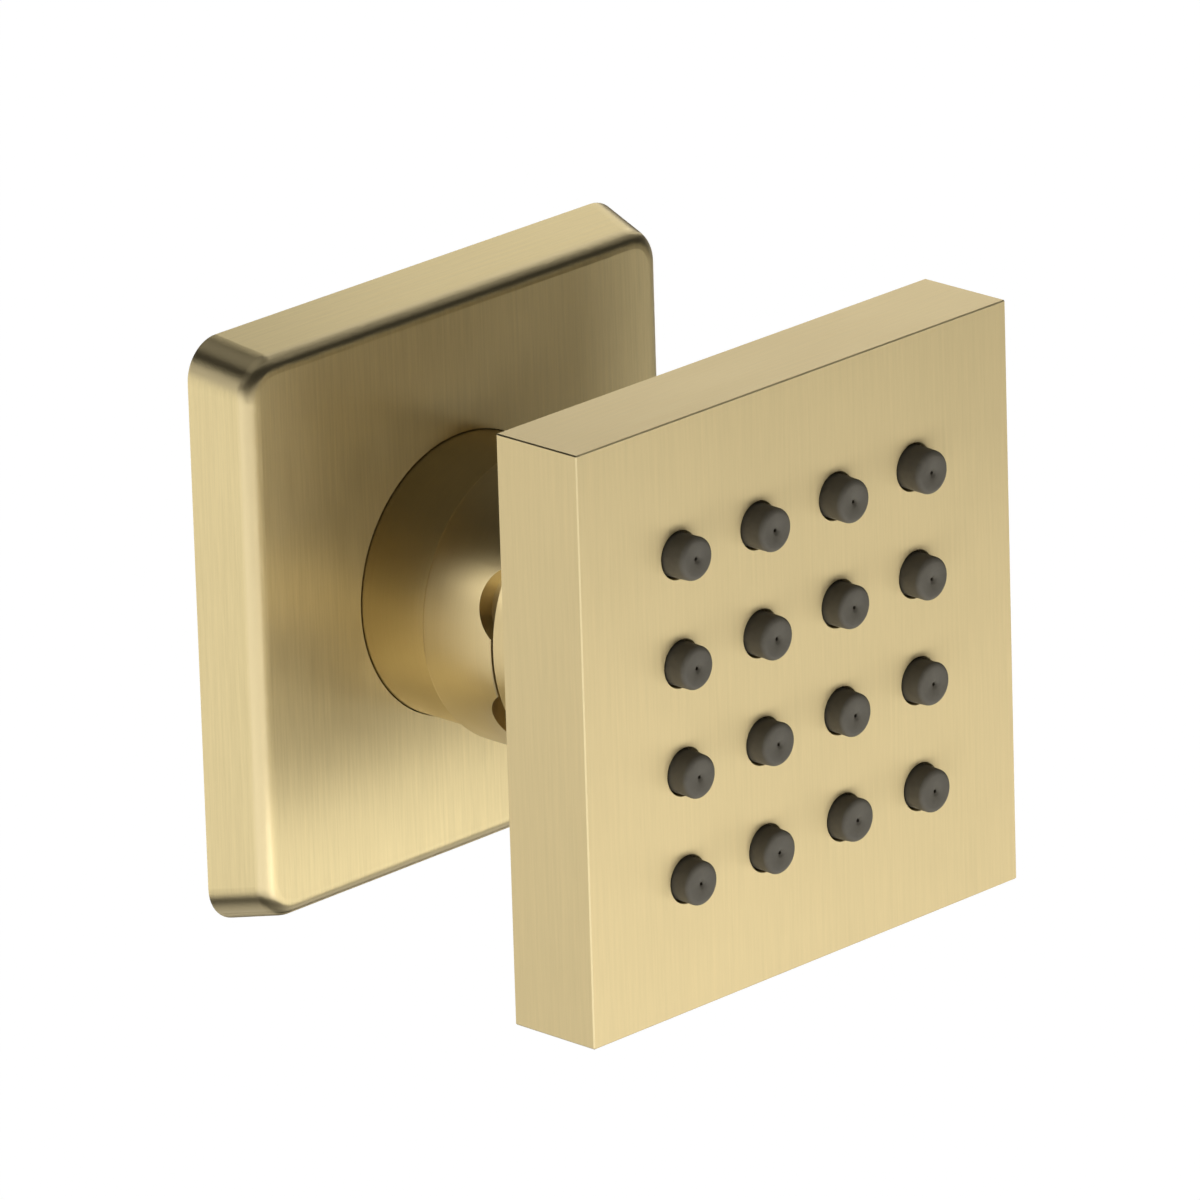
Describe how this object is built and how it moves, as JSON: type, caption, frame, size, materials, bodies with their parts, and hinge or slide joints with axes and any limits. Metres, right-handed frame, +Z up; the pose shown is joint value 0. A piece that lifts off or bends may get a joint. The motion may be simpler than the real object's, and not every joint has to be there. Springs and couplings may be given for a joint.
{
  "type": "shower body jet",
  "caption": "Square shower body jet: a flat spray head with soft nozzles on a ball-jointed neck, a square wall plate and a threaded pipe inlet at the back.",
  "frame": {"origin": "centre of the wall plate's back, on the wall plane, at the mouth of the threaded inlet", "axes": "+Z up, -Y out of the wall the way the jet sprays, +X to the right as seen from the room"},
  "size_m": [0.0502, 0.0457, 0.0502],
  "materials": {
    "brushed_brass": "brushed champagne gold",
    "turned_brass": "satin turned",
    "silicone": "matte dark grey",
    "seal_rubber": "matte black",
    "foam": "closed-cell foam, matte",
    "seat_plastic": "natural, matte",
    "inner_plastic": "moulded, matte",
    "steel": "satin"
  },
  "bodies": {
    "neck": {"wall_plate": "brushed_brass", "wall_gasket": "foam", "plate_o_ring": "seal_rubber", "neck_body": "turned_brass", "inlet_washer": "seal_rubber", "filter_screen": "steel", "regulator_body": "inner_plastic", "regulator_o_ring": "seal_rubber", "swivel_nut": "turned_brass"},
    "seats": {"seat_o_ring": "seal_rubber", "rear_seat": "seat_plastic", "front_seat": "seat_plastic"},
    "ball": {"ball_stem": "turned_brass"},
    "head": {"stem_washer": "seal_rubber", "back_cover": "brushed_brass", "cover_gasket": "seal_rubber", "cover_screws": "steel", "head_shell": "brushed_brass", "spray_plate": "inner_plastic", "nozzle_mat": "silicone"}
  },
  "joints": [
    {"name": "swivel_turn", "type": "hinge", "parent": "neck", "child": "seats", "pos_m": [0, -0.0216, 0], "axis": [0, -1, 0], "continuous": true},
    {"name": "swivel_tilt", "type": "hinge", "parent": "seats", "child": "ball", "pos_m": [0, -0.0216, 0], "axis": [1, 0, 0], "range_deg": [-15, 15]},
    {"name": "head_turn", "type": "hinge", "parent": "ball", "child": "head", "pos_m": [0, -0.0216, 0], "axis": [0, -1, 0], "continuous": true}
  ]
}
